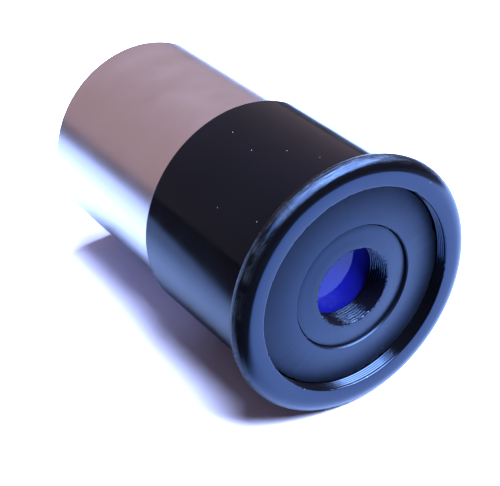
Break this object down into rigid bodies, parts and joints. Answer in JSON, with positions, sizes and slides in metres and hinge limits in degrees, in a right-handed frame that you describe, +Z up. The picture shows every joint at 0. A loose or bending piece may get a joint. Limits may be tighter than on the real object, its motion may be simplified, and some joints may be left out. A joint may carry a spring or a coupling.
{
  "type": "telescope eyepiece",
  "caption": "Slim-barrel telescope eyepiece: black body with a rounded eye flange, grooved eye hole, blue-coated eye lens and a bright push-in metal barrel.",
  "frame": {"origin": "on the optical axis, halfway between the front of the eye flange and the end of the barrel", "axes": "+Y along the optical axis from the eye side to the barrel end, +Z up as the eyepiece lies on its side, +X to the right when looking into the eye side"},
  "size_m": [0.0294, 0.0446, 0.0294],
  "materials": {
    "gloss_black_plastic": "polished moulded black plastic with fine scuffs",
    "satin_black_face": "satin black, faintly reflective",
    "bright_barrel_metal": "bright plated tube with a soft satin haze",
    "coated_glass": "polished glass with a deep blue coating",
    "clear_glass": "polished optical glass",
    "blackened_aluminium": "matt black anodised",
    "plain_aluminium": "turned, fine tool marks",
    "black_fibre": "matt"
  },
  "bodies": {
    "body": {"body_shell": "gloss_black_plastic", "face_ring": "satin_black_face", "eye_lens_front_element": "coated_glass", "eye_lens_rear_element": "clear_glass", "eye_lens_cell": "plain_aluminium", "cell_lock_ring": "blackened_aluminium"},
    "spacer": {"spacer_tube": "blackened_aluminium"},
    "barrel": {"barrel": "bright_barrel_metal", "field_lens_ring": "blackened_aluminium", "field_lens": "clear_glass", "field_stop": "blackened_aluminium"},
    "eye_shim": {"eye_lens_shim": "black_fibre"},
    "eye_retainer": {"eye_lens_retainer": "satin_black_face"}
  },
  "joints": [
    {"name": "barrel_back_off", "type": "slide", "parent": "body", "child": "spacer", "axis": [0, 1, 0], "range_m": [0, 0.0055]},
    {"name": "barrel_turn", "type": "hinge", "parent": "spacer", "child": "barrel", "pos_m": [0, 0, 0], "axis": [0, 1, 0], "range_deg": [0, 1981]},
    {"name": "retainer_back_off", "type": "slide", "parent": "body", "child": "eye_shim", "axis": [0, -1, 0], "range_m": [0, 0.0015]},
    {"name": "retainer_turn", "type": "hinge", "parent": "eye_shim", "child": "eye_retainer", "pos_m": [0, 0, 0], "axis": [0, -1, 0], "range_deg": [0, 1081]}
  ],
  "couplings": [
    {"joint": "barrel_turn", "follows": "barrel_back_off", "rad_per_m": 6283.2},
    {"joint": "retainer_turn", "follows": "retainer_back_off", "rad_per_m": 12566}
  ]
}
